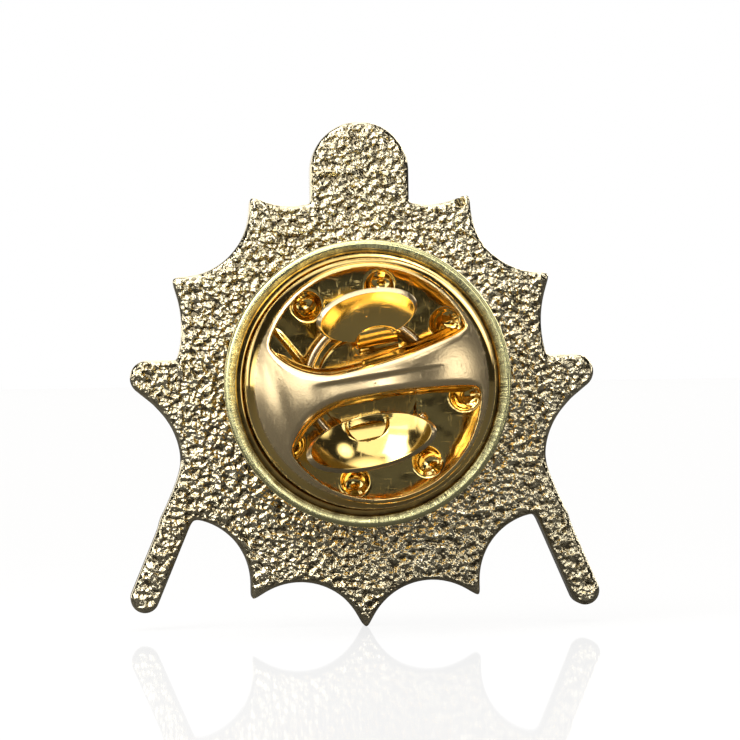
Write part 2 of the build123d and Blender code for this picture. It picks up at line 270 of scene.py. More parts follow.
def scalloped(plan, scale, softness):
    """Distance outside a sun whose rays stand between round hollows, the same on both sides."""
    parts = []
    for (angle, tip, hollow), (next_angle, next_tip, _) in zip(RIGHT_RAYS[:-1], RIGHT_RAYS[1:]):
        middle = (angle + next_angle) / 2
        places = ((angle, tip), (middle, hollow), (next_angle, next_tip))
        centre, radius = hollow_circle(*(on_ray(degrees, scale * out) for degrees, out in places))
        parts += [radius - np.linalg.norm(plan - centre * [side, 1], axis=1) for side in (1, -1)]
    longest = max(tip for _, tip, _ in RIGHT_RAYS)
    return soft_max(parts + [np.linalg.norm(plan - SUN_CENTRE, axis=1) - scale * longest], softness)


def rounded_polygon(plan, corners, radius):
    """Distance outside a polygon, given clockwise, that is grown by a radius and so has round corners."""
    following = np.roll(corners, -1, axis=0)
    sides = following - corners
    outward = np.stack([-sides[:, 1], sides[:, 0]], axis=1) / np.linalg.norm(sides, axis=1)[:, None]
    inside = ((plan[:, None] - corners) * outward).sum(axis=2).max(axis=1)
    edge = np.min([to_segment(plan, start, end) for start, end in zip(corners, following)], axis=0)
    return np.where(inside < 0, inside, edge) - radius


def outside_badge(plan):
    """Distance outside the badge's outline."""
    mirrored = np.abs(plan) * [1, 0] + plan * [0, 1]
    sun = scalloped(plan, 1.0, RAY_SOFTNESS)
    head = to_segment(plan, HEAD_CENTRE, HEAD_CENTRE - [0, HEAD_RADIUS]) - HEAD_RADIUS
    ear = rounded_polygon(mirrored, EAR_CORNERS, EAR_ROUND)
    leg = to_segment(mirrored, LEG_TIP, LEG_ROOT) - LEG_HALF_WIDTH
    return soft_min([soft_min([sun, head, ear], UNION_SOFTNESS), leg], LEG_ROOT_SOFTNESS)


probe = outside_badge(np.array([[0.0, 0.0], [8.98, -8.6], [0.0, 12.0], [9.3, 0.3], [7.0, -7.0]]))
print("outside the outline by", probe.round(2))

# %% [markdown]
# ## Pebbled back
# The back of such a badge keeps the mould's blasted, pebbled skin: low rounded grains and worm-like
# ridges a quarter to a third of a millimetre across. A noise texture could fake it in the shader alone, but
# the edge of the silhouette and the mesh would be flat. The larger grains are therefore real height:
# the sum of many straight waves of nearly one length in all directions makes exactly such grains.
# They fade out near the outline, where the casting was tumbled smooth.

# %% Heights of the back
EDGE_ROUND, FRONT_ROUND = 0.12, 0.24
PIT_PLACE, PIT_RADIUS, PIT_DEPTH = np.array([4.12, 7.34]), 0.2, 0.3
GRAIN_LENGTH, GRAIN_HEIGHT = 0.33, 0.022
SWELL_LENGTH, SWELL_HEIGHT = 3.2, 0.012


def waves(plan, seed, length, spread, count=64):
    """Sum of straight waves of about this length, about -1 to 1."""
    rng = np.random.default_rng(seed)
    angle, start = rng.uniform(0, 2 * np.pi, (2, count))
    number = 2 * np.pi / (length * rng.uniform(1 - spread, 1 + spread, count))
    turns = plan @ (np.stack([np.cos(angle), np.sin(angle)]) * number) + start
    return np.cos(turns).sum(axis=1) / math.sqrt(count / 2)


def rolled(inset, radius):
    """How far a rounded edge has dropped at this inset: a quarter circle of the given radius."""
    return radius - np.sqrt(np.maximum(radius**2 - np.clip(radius - inset, 0, radius) ** 2, 0))


def back_height(plan, inset):
    """Depth of the back's skin: edge rounding, less the pebbles, plus the casting's pit."""
    inner = smooth_step(0.05, 0.26, inset)
    grains = np.tanh(1.5 * waves(plan, 3, GRAIN_LENGTH, 0.3))
    swell = waves(plan, 5, SWELL_LENGTH, 0.4)
    pit = np.exp(-(((plan - PIT_PLACE) ** 2).sum(axis=1) / PIT_RADIUS**2) ** 2)
    relief = GRAIN_HEIGHT * grains + SWELL_HEIGHT * swell
    return rolled(inset, EDGE_ROUND) - relief * inner + PIT_DEPTH * pit


# %% [markdown]
# ## Enamelled front
# From the front the badge is a plain sunburst. Raised metal lines part the sunk fields, which are filled
# with enamel, and a low boss stands in the middle. The front's height comes from the distance to the
# fields, so that each line has rounded shoulders.

# %% Heights of the front
FIELD_SCALE, FIELD_INNER, RIDGE_HALF = 0.845, 4.75, 0.18
RING_MIDDLE, RING_HALF = 3.25, 0.9
HEAD_FIELD, BOSS_RADIUS, BOSS_RISE = 1.4, 2.35, 0.35
FIELD_DROP = 0.14


def outside_fields(plan):
    """Distance outside the nearest enamel field."""
    mirrored = np.abs(plan) * [1, 0] + plan * [0, 1]
    radius = np.linalg.norm(plan - SUN_CENTRE, axis=1)
    tips = [on_ray(angle, tip) for angle, tip, _ in RIGHT_RAYS]
    off_ray = np.min([to_segment(mirrored, SUN_CENTRE, tip) for tip in tips], axis=0)
    burst = scalloped(plan, FIELD_SCALE, 0.02)
    rays = np.maximum(np.maximum(burst, FIELD_INNER - radius), RIDGE_HALF - off_ray)
    ring = np.abs(radius - RING_MIDDLE) - RING_HALF
    head = np.linalg.norm(plan - HEAD_CENTRE, axis=1) - HEAD_FIELD
    return np.minimum(np.minimum(rays, ring), head)


def front_height(plan, inset):
    """Height of the front: rounded edge, sunk fields and the boss's ball-shaped rise."""
    radius = np.linalg.norm(plan - SUN_CENTRE, axis=1)
    ball = (BOSS_RADIUS**2 + BOSS_RISE**2) / (2 * BOSS_RISE)
    boss = np.sqrt(ball**2 - np.minimum(radius, BOSS_RADIUS) ** 2) - (ball - BOSS_RISE)
    sunk = FIELD_DROP * smooth_step(0.06, -0.08, outside_fields(plan))
    return PLATE_FRONT - rolled(inset, FRONT_ROUND) - sunk + boss


# %% Badge skin: back, wall and front in one
PITCH = 0.072
x = np.arange(-140, 141) * PITCH
z = np.arange(-145, 152) * PITCH
flat = np.stack(np.meshgrid(x, z), axis=-1).reshape(-1, 2)
plan, faces, _ = trimmed(flat, grid_faces(len(z), len(x)), outside_badge)
inset = np.maximum(-outside_badge(plan), 0)
back, front = back_height(plan, inset), front_height(plan, inset)
rim = open_edges(faces)
count = len(plan)
WALL_ROWS = 4
loop, order = np.unique(rim, return_inverse=True)
order = order.reshape(-1, 2)
share = (np.arange(1, WALL_ROWS) / WALL_ROWS)[:, None]
wall_y = back[loop] * (1 - share) + front[loop] * share
rows = [loop] + [2 * count + row * len(loop) + np.arange(len(loop)) for row in range(WALL_ROWS - 1)]
rows.append(count + loop)
wall = [
    np.stack([low[order[:, 1]], low[order[:, 0]], high[order[:, 0]], high[order[:, 1]]], axis=1)
    for low, high in zip(rows[:-1], rows[1:])
]
wall_x, wall_z = np.tile(plan[loop], (WALL_ROWS - 1, 1)).T
points = np.concatenate([
    np.stack([plan[:, 0], back, plan[:, 1]], axis=1),
    np.stack([plan[:, 0], front, plan[:, 1]], axis=1),
    np.stack([wall_x, wall_y.ravel(), wall_z], axis=1),
])
skin = facing_out(points, np.concatenate([faces, faces[:, ::-1] + count, *wall]))
cast_share = np.concatenate([smooth_step(0.03, 0.2, inset), np.zeros(len(points) - count)])
badge = make_piece("badge_casting", points, skin, "badge", ["badge_plate"], "badge_metal", cast=cast_share)

# %% [markdown]
# ## Post and solder
# The post is a drawn wire with a flat foot, a groove near its point and a tapered end. It is soldered
# into a shallow seat in the back. Both are turned shapes: a profile of radius and height carried round.

# %% Post and solder fillet
POST_RADIUS, GROOVE_PLACE, FOOT_RADIUS, FOOT_LOW = 0.55, 5.2, 1.3, -0.35
POST_COLUMNS, SOLDER_COLUMNS = 72, 96
profile = joined(
    (1e-4, FOOT_LOW), run((0.1, FOOT_LOW), (FOOT_RADIUS - 0.05, FOOT_LOW), 0.3),
    (FOOT_RADIUS, FOOT_LOW + 0.05), (FOOT_RADIUS, -0.1),
    (FOOT_RADIUS - 0.05, -0.05), run((FOOT_RADIUS - 0.1, -0.05), (POST_RADIUS + 0.05, -0.05), 0.2),
    run((POST_RADIUS, 0.0), (POST_RADIUS, GROOVE_PLACE - 0.2), 0.25),
    arc((POST_RADIUS + 0.08, GROOVE_PLACE), 0.18, 235, 125, 9),
    run((POST_RADIUS, GROOVE_PLACE + 0.2), (POST_RADIUS, POST_END - 0.85), 0.2),
    arc((POST_RADIUS - 0.3, POST_END - 0.8), 0.3, 0, 25, 4),
    run((0.5, POST_END - 0.62), (0.16, POST_END - 0.08), 0.1), arc((0.06, POST_END - 0.12), 0.12, 30, 88, 5),
    (1e-4, POST_END),
)
u, w, h = turned(profile, POST_COLUMNS)
post_points = np.stack([u, -h, w], axis=-1).reshape(-1, 3)
post_faces = facing_out(post_points, grid_faces(len(profile), POST_COLUMNS, wrap=True))
post = make_piece("post_wire", post_points, post_faces, "badge", ["pin_post"], "post_metal", merge=0.001)

angle = np.linspace(0, 2 * np.pi, SOLDER_COLUMNS, endpoint=False)
SOLDER_FOOT, SOLDER_RISE = 1.5, 0.55
fillet = joined(
    (SOLDER_FOOT, 0.02), arc((1.44, 0.9), 0.92, 268, 194, 14), (POST_RADIUS - 0.03, SOLDER_RISE + 0.06),
    (POST_RADIUS - 0.03, -0.03), (SOLDER_FOOT - 0.02, -0.03),
)
u, w, h = turned(fillet, SOLDER_COLUMNS)
lumps = 1 + 0.02 * np.sin(3 * angle + 1) + 0.012 * np.sin(7 * angle)
solder_points = np.stack([u * lumps, -h, w * lumps], axis=-1).reshape(-1, 3)
solder_faces = facing_out(solder_points, ring_faces(len(fillet), SOLDER_COLUMNS))
solder = make_piece("solder_ring", solder_points, solder_faces, "badge", ["solder_fillet"], "solder")

# %% [markdown]
# ## Clutch disc
# The clutch's cloth side is a pressed disc: a flared eye for the post, eight dimples that keep the cloth
# from turning, and a rim rolled back over the cap's flange. The profile is carried round the post, and
# the dimples are a ball-shaped drop added to the flat stretch.

# %% Disc
SHEET = 0.25
RIM_MIDDLE = DISC_RADIUS - RIM_ROUND
DIMPLE_ANGLES = np.radians(25.5 + 45 * np.arange(8))
DIMPLE_CIRCLE, DIMPLE_RADIUS, DIMPLE_DEPTH = 3.95, 0.6, 0.26
EYE_RADIUS, EYE_RISE, EYE_FOOT = 0.72, 0.45, 1.2
DISC_COLUMNS, RIM_CORNER = 400, 0.17
# two press creases: a point on each, in the clutch's frame, and its direction in degrees
CREASES = [((-2.55, 1.75), 118), ((-3.15, 1.35), 122), ((1.7, -1.6), 80)]
CREASE_WIDTH, CREASE_RISE = 0.07, 0.05


def pressed(along, across, height):
    """Drop of the dimples, a ball cap each, and of two press creases in the flat sheet."""
    ball = (DIMPLE_RADIUS**2 + DIMPLE_DEPTH**2) / (2 * DIMPLE_DEPTH)
    dx = along[..., None] - DIMPLE_CIRCLE * np.cos(DIMPLE_ANGLES)
    dz = across[..., None] - DIMPLE_CIRCLE * np.sin(DIMPLE_ANGLES)
    near = np.minimum(np.sqrt(dx**2 + dz**2).min(axis=-1), 1.2 * DIMPLE_RADIUS)
    cap = np.sqrt(ball**2 - np.minimum(near, DIMPLE_RADIUS) ** 2) - (ball - DIMPLE_DEPTH)
    for (place_along, place_across), lean in CREASES:
        lean = math.radians(lean)
        off = (along - place_along) * math.sin(lean) - (across - place_across) * math.cos(lean)
        on = (along - place_along) * math.cos(lean) + (across - place_across) * math.sin(lean)
        fold = np.exp(-((off / CREASE_WIDTH) ** 2)) * smooth_step(1.5, 0.9, np.abs(on))
        cap = cap - CREASE_RISE * fold
    return height - cap


rim_in = RIM_ROUND - SHEET
profile = joined(
    arc((EYE_RADIUS + 0.06, EYE_RISE + 0.06), 0.08, 200, 240, 3),
    run((EYE_RADIUS + 0.06, EYE_RISE - 0.02), (EYE_FOOT - 0.05, 0.06), 0.08), (EYE_FOOT + 0.08, 0.0),
    run((EYE_FOOT + 0.15, 0), (RIM_MIDDLE, 0), 0.085), arc((RIM_MIDDLE, RIM_ROUND), RIM_ROUND, -90, 0, 10),
    arc((DISC_RADIUS - RIM_CORNER, 2 * RIM_ROUND - RIM_CORNER), RIM_CORNER, 0, 84, 9),
    run((DISC_RADIUS - RIM_CORNER - 0.02, 2 * RIM_ROUND), (RIM_MIDDLE, 2 * RIM_ROUND - 0.035), 0.06),
    arc((RIM_MIDDLE - 0.02, 2 * RIM_ROUND - 0.095), 0.06, 90, 200, 4),
    arc((RIM_MIDDLE, RIM_ROUND), rim_in, 88, -88, 8),
    run((RIM_MIDDLE, SHEET), (EYE_FOOT + 0.3, SHEET), 0.085), (EYE_FOOT + 0.15, SHEET + 0.03),
    run((EYE_FOOT + 0.08, SHEET + 0.09), (EYE_RADIUS + 0.2, EYE_RISE + SHEET - 0.04), 0.08),
    (EYE_RADIUS + 0.12, EYE_RISE + SHEET - 0.02), (EYE_RADIUS + 0.02, EYE_RISE + SHEET - 0.12),
)
u, w, h = turned(profile, DISC_COLUMNS)
h = pressed(u, w, h)
disc_points = clutch_points(u, w, h).reshape(-1, 3)
disc_faces = facing_out(disc_points, ring_faces(len(profile), DISC_COLUMNS))
disc = make_piece("disc_pressing", disc_points, disc_faces, "clutch", ["clutch_disc"], "clutch_brass")

# %% [markdown]
# ## Clutch cap
# The cap is a drawn dome on a straight wall, with two windows cut out so that fingers reach the wings.
# The strap left between them has edges rolled down into it. The dome is turned, the windows are cut with
# distances as the badge's outline was, and points near a window drop along a quarter circle, which is
# the roll. The rolled edge then goes on down, and a Solidify modifier gives the sheet's gauge.

# %% Windows as distances
STRAP_SHIFT, WAIST_PLACE, WAIST_HALF = 0.17, -1.2, 0.58
LEFT_CORNER, RIGHT_CORNER = np.array([-3.67, 2.12]), np.array([4.12, 1.22])
WINDOW_RADIUS, WINDOW_SOFTNESS = 4.56, 0.09


def tangent_circle(waist, corner):
    """Circle that is level at the waist and goes through the corner."""
    dx, dz = corner - waist
    radius = (dx**2 + dz**2) / (2 * dz)
    return waist + [0, radius], abs(radius)


def outside_window(plan, side):
    """Distance outside the window on one side of the strap."""
    flipped = (plan - [0, STRAP_SHIFT]) * [1, side]
    waist = np.array([WAIST_PLACE, WAIST_HALF])
    left, left_radius = tangent_circle(waist, LEFT_CORNER)
    right, right_radius = tangent_circle(waist, RIGHT_CORNER)
    low = np.where(
        flipped[:, 0] < WAIST_PLACE,
        np.linalg.norm(flipped - left, axis=1) - left_radius,
        np.linalg.norm(flipped - right, axis=1) - right_radius,
    )
    top = np.array([0, WINDOW_RADIUS - side * STRAP_SHIFT])
    centre, radius = hollow_circle(LEFT_CORNER, top, RIGHT_CORNER)
    return soft_max([low, np.linalg.norm(flipped - centre, axis=1) - radius], WINDOW_SOFTNESS)


def outside_cap(plan):
    """Distance outside the cap's metal, which is how far a point is inside the nearer window."""
    return -np.minimum(outside_window(plan, 1), outside_window(plan, -1))


# %% Cap
DOME, SHOULDER, WALL_RADIUS, FLANGE_LEVEL = 6.5, 0.9, 4.98, 0.545
CAP_COLUMNS = 480
shoulder_r = WALL_RADIUS - SHOULDER
shoulder_h = CAP_HEIGHT - DOME + math.sqrt((DOME - SHOULDER) ** 2 - shoulder_r**2)
lean = math.degrees(math.atan2(shoulder_h - (CAP_HEIGHT - DOME), shoulder_r))
TOP_ROWS, SHOULDER_ROWS = 92, 14
DOME_ROWS = TOP_ROWS + SHOULDER_ROWS - 1
dome = arc((0, CAP_HEIGHT - DOME), DOME, 89.9, lean, TOP_ROWS)
BASE_BEND = 0.14
STRAP_ROLL, RING_ROLL, LIP_FALL, LIP_FLARE, LIP_ROWS = 0.36, 0.16, 0.36, 0.2, 5
FOLD_RISE, FOLD_WIDTH, HOLLOW_DEPTH, BELL_RISE = 0.07, 0.07, 0.11, 0.07
CAP_GAUGE = 0.22
cap_profile = joined(
    dome, arc((shoulder_r, shoulder_h), SHOULDER, lean, 0, SHOULDER_ROWS),
    run((WALL_RADIUS, shoulder_h), (WALL_RADIUS, FLANGE_LEVEL + BASE_BEND), 0.1),
    arc((WALL_RADIUS + BASE_BEND, FLANGE_LEVEL + BASE_BEND), BASE_BEND, 180, 270, 6),
    run((WALL_RADIUS + BASE_BEND, FLANGE_LEVEL), (FLANGE_RADIUS, FLANGE_LEVEL), 0.1),
)


def strap_shape(plan):
    """Small press marks of the strap: a fold along it, a hollow across its wide left end, and a swell."""
    along, across = plan.T
    beside = across - (0.30 - 0.055 * along)
    fold = FOLD_RISE * np.tanh(beside / FOLD_WIDTH) * np.exp(-((beside / 0.45) ** 2))
    fold = fold * smooth_step(-2.6, -1.6, along) * smooth_step(3.3, 1.4, along)
    hollow = np.exp(-(((along + 3.72 + 0.05 * across) / 0.3) ** 2)) * smooth_step(2.6, 1.2, np.abs(across))
    bell = np.exp(-(((along + 2.75) / 0.55) ** 2)) * smooth_step(1.4, 0.2, np.abs(across - STRAP_SHIFT))
    return fold - HOLLOW_DEPTH * hollow + BELL_RISE * bell


u, w, h = turned(cap_profile, CAP_COLUMNS)
flat = np.stack([u, w], axis=-1).reshape(-1, 2)
cells = grid_faces(len(cap_profile), CAP_COLUMNS, wrap=True)
plan, faces, used = trimmed(flat, cells, outside_cap)
height = h.ravel()[used]
radius = np.linalg.norm(plan, axis=1)
on_dome = used < DOME_ROWS * CAP_COLUMNS
height[on_dome] = np.interp(radius[on_dome], cap_profile[:DOME_ROWS, 0], cap_profile[:DOME_ROWS, 1])
inset = np.maximum(-outside_cap(plan), 0)
roll = STRAP_ROLL + (RING_ROLL - STRAP_ROLL) * smooth_step(3.7, 4.4, radius)
height = height - np.where(on_dome, rolled(inset, roll), 0)
height = height + strap_shape(plan)

# The rolled edge goes on down, and flares a little under the strap
edges = open_edges(faces)
edges = edges[(radius[edges] < WALL_RADIUS).all(axis=1)]
loop, order = np.unique(edges, return_inverse=True)
order = order.reshape(-1, 2)
share = (np.arange(1, LIP_ROWS + 1) / LIP_ROWS)[:, None]
edge_plan, small = plan[loop], 1e-3
here = outside_cap(edge_plan)
slope = np.stack([outside_cap(edge_plan + step) - here for step in ([small, 0], [0, small])], axis=1)
slope = slope / np.maximum(np.linalg.norm(slope, axis=1), 1e-9)[:, None]
on_strap = smooth_step(4.2, 3.6, radius[loop])
upper_right = smooth_step(-1.0, 3.0, edge_plan[:, 0]) * (edge_plan[:, 1] > STRAP_SHIFT)
flare = LIP_FLARE * on_strap * (1 + 0.6 * upper_right)
rows = [loop] + [len(plan) + row * len(loop) + np.arange(len(loop)) for row in range(LIP_ROWS)]
lip = [
    np.stack([a[order[:, 1]], a[order[:, 0]], b[order[:, 0]], b[order[:, 1]]], axis=1)
    for a, b in zip(rows[:-1], rows[1:])
]
fall = LIP_FALL * share * (0.5 + on_strap)
height = np.concatenate([height, (height[loop] - fall).ravel()])
spread = edge_plan + (share**1.3)[:, :, None] * (flare[:, None] * slope)
plan = np.concatenate([plan, spread.reshape(-1, 2)])
cap_points = clutch_points(plan[:, 0], plan[:, 1], height)
cap_faces = np.concatenate([faces, *lip])
satin = smooth_step(4.68, 4.6, radius) * smooth_step(0.02, 0.12, inset)
satin = np.concatenate([satin, np.zeros(len(height) - len(radius))])
cap = make_piece(
    "cap_pressing", cap_points, cap_faces, "clutch", ["clutch_cap"], "clutch_satin", merge=0.002, satin=satin
)
outward = sum(p.normal.y for p in cap.data.polygons if p.center.length < 0.1)
if outward > 0:
    cap.data.flip_normals()
gauge = cap.modifiers.new("gauge", "SOLIDIFY")
gauge.thickness, gauge.offset = CAP_GAUGE * MM, -1

# %% [markdown]
# ## Wings
# Two sheet-metal wings stand in the windows. Each is a spoon for a fingertip, a bent neck, and a jaw with
# a round notch that grips the post. The spoon is a ball shell cut to an oval, drawn as rings from its
# middle. A Solidify modifier gives the gauge and marks the cut edge, which is paler than the plated face.

# %% Wings
SPOON_BALL, SPOON_CENTRE = 3.325, (1.2, 6.5)
# middle along and across, half length and half width: the two wings stand a little differently
UPPER_SPOON, LOWER_SPOON = (0.3, 2.66, 1.95, 0.95), (0.62, 2.2, 2.5, 1.02)
NECK_PATH = joined(
    arc((1.24, 1.235), 0.16, -62, -5, 5),
    run((1.4, 1.4), (1.31, 2.66), 0.12), arc((1.6, 2.75), 0.3, 190, 140, 4),
    run((1.55, 3.1), (2.1, 3.33), 0.12),
)
NECK_SHIFT, NECK_HALF = 0.55, 0.8
JAW_LEVEL, JAW_RADIUS, JAW_NOTCH, JAW_GAP = 1.075, 2.0, 0.57, 0.06
ROOT_DROP, EDGE_BEVEL = 0.16, 0.035


def spoon_grid(spoon, rings, columns):
    """Oval rings on a ball: along and across from the ring, height from the ball's lower half.

    Round the neck's top the spoon sinks a little, where the two were pressed into one.
    """
    middle_along, middle_across, half_length, half_width = spoon
    share = (np.linspace(0.001, 1, rings) ** 0.8)[:, None]
    angle = np.linspace(0, 2 * np.pi, columns, endpoint=False)
    along = middle_along + half_length * share * np.cos(angle)
    across = middle_across + half_width * share * np.sin(angle)
    ball = SPOON_BALL**2 - (along - middle_along) ** 2 - (across - SPOON_CENTRE[0]) ** 2
    height = SPOON_CENTRE[1] - np.sqrt(ball)
    root = np.hypot((along - NECK_SHIFT) / 0.95, (across - 1.45) / 0.75)
    return along, across, height - ROOT_DROP * smooth_step(1.04, 0.86, root)


def neck_grid(columns):
    """The bent path of the neck carried along the strap's direction."""
    along = NECK_SHIFT + np.linspace(-NECK_HALF, NECK_HALF, columns)[None, :] + 0 * NECK_PATH[:, :1]
    return along, NECK_PATH[:, :1] + 0 * along, NECK_PATH[:, 1:] + 0 * along


def jaw_grid(rows, columns):
    """Half a disc about the post, from the notch to its outer edge, cut straight at the gap."""
    angle = np.linspace(0, np.pi, columns)[None, :]
    radius = np.linspace(JAW_NOTCH, JAW_RADIUS, rows)[:, None]
    return radius * np.cos(angle), np.maximum(radius * np.sin(angle), JAW_GAP), JAW_LEVEL + 0 * radius * angle


def make_wing(name, side, spoon, body, node):
    """One wing from its three shells; side turns it half round the post."""
    shells, faces, start = [], [], 0
    grids = ((spoon_grid(spoon, 34, 120), True), (neck_grid(12), False), (jaw_grid(10, 48), False))
    for grid, wrap in grids:
        rows, columns = grid[0].shape
        shells.append(clutch_points(side * grid[0], side * grid[1], grid[2]).reshape(-1, 3))
        faces.append(grid_faces(rows, columns, wrap) + start)
        start += rows * columns
    points, cells = np.concatenate(shells), np.concatenate(faces)
    wing = make_piece(name, points, cells, body, [node], "wing_brass", merge=0.004)
    gauge = wing.modifiers.new("gauge", "SOLIDIFY")
    gauge.thickness, gauge.offset, gauge.material_offset_rim = SHEET * MM, 0, 1
    burr = wing.modifiers.new("edge", "BEVEL")
    burr.width, burr.segments = EDGE_BEVEL * MM, 2
    burr.limit_method, burr.angle_limit = "ANGLE", math.radians(50)
    return wing


upper = make_wing("wing_upper", 1, UPPER_SPOON, "wing_a", "upper_wing")
lower = make_wing("wing_lower", -1, LOWER_SPOON, "wing_b", "lower_wing")

# %% [markdown]
# ## Grip spring
# An open ring of round wire lies inside the cap and pulls the jaws together. It is a circle carried round
# most of a larger circle, with its ends rounded off by shrinking the last few circles.

# %% Spring
SPRING_RADIUS, SPRING_WIRE, SPRING_LEVEL, SPRING_OPENING = 2.5, 0.2, 1.72, math.radians(40)
SPRING_ROWS, SPRING_COLUMNS = 150, 24
turn = np.linspace(0, 2 * np.pi - SPRING_OPENING, SPRING_ROWS)[:, None]
end = np.minimum(np.minimum(turn, turn[::-1]) * SPRING_RADIUS / SPRING_WIRE, 1)
thin = SPRING_WIRE * np.sqrt(np.maximum(1 - (1 - end) ** 2, 1e-4))
round_it = np.linspace(0, 2 * np.pi, SPRING_COLUMNS, endpoint=False)[None, :]
ring = SPRING_RADIUS + thin * np.cos(round_it)
level = SPRING_LEVEL + thin * np.sin(round_it)
spring_points = clutch_points(ring * np.cos(turn), ring * np.sin(turn), level).reshape(-1, 3)
spring_faces = facing_out(spring_points, grid_faces(SPRING_ROWS, SPRING_COLUMNS, wrap=True))
spring = make_piece(
    "spring_wire_ring", spring_points, spring_faces, "spring_ring", ["grip_spring"], "spring_wire"
)

# %% [markdown]
# ## Finishes
# All but the enamel is plated metal, but each part left the works with a skin of its own: blasted and
# tumbled on the casting, bright from the press on the disc and wings, satin on the cap. Two effects come
# back in several of them, so each is a node group: fine surface wear, and slow changes of the plating's
# colour. The groups put out only values and colours, and the shader stays in each material. Bump heights
# are multiples of the bump distance, which each metal sets in millimetres.


# %% Node helpers
def group(name, inputs, outputs):
    """An empty shader node group with named float or colour sockets."""
    tree = bpy.data.node_groups.new(name, "ShaderNodeTree")
    for label, kind, value in inputs:
        socket = tree.interface.new_socket(label, in_out="INPUT", socket_type=kind)
        socket.default_value = value
    for label, kind in outputs:
        tree.interface.new_socket(label, in_out="OUTPUT", socket_type=kind)
    return tree, tree.nodes.new("NodeGroupInput"), tree.nodes.new("NodeGroupOutput")


def add(tree, kind, settings=None, **sockets):
    """A node with its settings, constants and links; a socket given as an output is linked."""
    node = tree.nodes.new(kind)
    for key, value in (settings or {}).items():
        setattr(node, key, value)
    for label, value in sockets.items():
        number = int(label[1:]) if label[0] == "n" and label[1:].isdigit() else None
        socket = node.inputs[number] if number is not None else node.inputs[label.replace("_", " ")]
        if isinstance(value, bpy.types.NodeSocket):
            tree.links.new(value, socket)
        else:
            socket.default_value = value
    return node


def grain(tree, coordinate, scale, detail=2.0, roughness=0.5):
    """Value of a noise; the scale counts its features in a metre."""
    sockets = {"Vector": coordinate, "Scale": scale, "Detail": detail, "Roughness": roughness}
    return add(tree, "ShaderNodeTexNoise", **sockets).outputs[0]


def span(tree, value, low, high, out_low=0.0, out_high=1.0):
    """Map a value from one span to another, held inside it."""
    sockets = {"n0": value, "n1": low, "n2": high, "n3": out_low, "n4": out_high}
    return add(tree, "ShaderNodeMapRange", {"clamp": True}, **sockets).outputs[0]


def maths(tree, operation, first, second):
    return add(tree, "ShaderNodeMath", {"operation": operation}, n0=first, n1=second).outputs[0]


def times(tree, first, second):
    return maths(tree, "MULTIPLY", first, second)


def plus(tree, first, second):
    return maths(tree, "ADD", first, second)


def from_post(tree, place):
    """The place without its depth, and how far it is from the post's axis."""
    parts = add(tree, "ShaderNodeSeparateXYZ", n0=place).outputs
    upright = add(tree, "ShaderNodeCombineXYZ", n0=parts[0], n1=parts[2]).outputs[0]
    return upright, add(tree, "ShaderNodeVectorMath", {"operation": "LENGTH"}, n0=upright).outputs["Value"]


def blend(tree, share, first, second):
    settings = {"data_type": "RGBA"}
    return add(tree, "ShaderNodeMix", settings, n0=share, n6=first, n7=second).outputs[2]


# %% Group: plating that changes slowly in colour
plating, given, result = group(
    "slow_plating",
    [("Coordinate", "NodeSocketVector", (0, 0, 0)), ("Main", "NodeSocketColor", (1, 1, 1, 1)),
     ("Other", "NodeSocketColor", (1, 1, 1, 1)), ("Scale", "NodeSocketFloat", 300.0)],
    [("Color", "NodeSocketColor"), ("Mask", "NodeSocketFloat")],
)
slow = grain(plating, given.outputs[0], given.outputs[3], detail=3.0)
slow = span(plating, slow, 0.38, 0.64)
plating.links.new(blend(plating, slow, given.outputs[1], given.outputs[2]), result.inputs[0])
plating.links.new(slow, result.inputs[1])


def plated_colour(tree, place, main, other, scale):
    sockets = {"Coordinate": place, "Main": main, "Other": other, "Scale": scale}
    return add(tree, "ShaderNodeGroup", {"node_tree": plating}, **sockets).outputs[0]


# %% Group: fine wear, short scratches and a faint orange peel
wear, given, result = group(
    "fine_wear",
    [("Coordinate", "NodeSocketVector", (0, 0, 0)), ("Scratches", "NodeSocketFloat", 0.5),
     ("Peel", "NodeSocketFloat", 0.5)],
    [("Height", "NodeSocketFloat"), ("Mask", "NodeSocketFloat")],
)
# turn and scale of two sets of scratches, each stretched one way, and where their noise is cut off
SCRATCHES = [
    ((0.3, 0.9, 0.4), (9000, 1400, 2100), (0.6, 0.72)),
    ((1.1, -0.5, -0.7), (1700, 1400, 9000), (0.62, 0.74)),
]
sets = []
for turned_by, scaled_by, (low, high) in SCRATCHES:
    way = add(wear, "ShaderNodeMapping", n0=given.outputs[0], n2=turned_by, n3=scaled_by).outputs[0]
    sets.append(span(wear, grain(wear, way, 1.0), low, high))
lines = maths(wear, "MAXIMUM", *sets)
peel = grain(wear, given.outputs[0], 1500.0)
height = maths(wear, "SUBTRACT", times(wear, peel, given.outputs[2]), times(wear, lines, given.outputs[1]))
wear.links.new(height, result.inputs[0])
wear.links.new(lines, result.inputs[1])


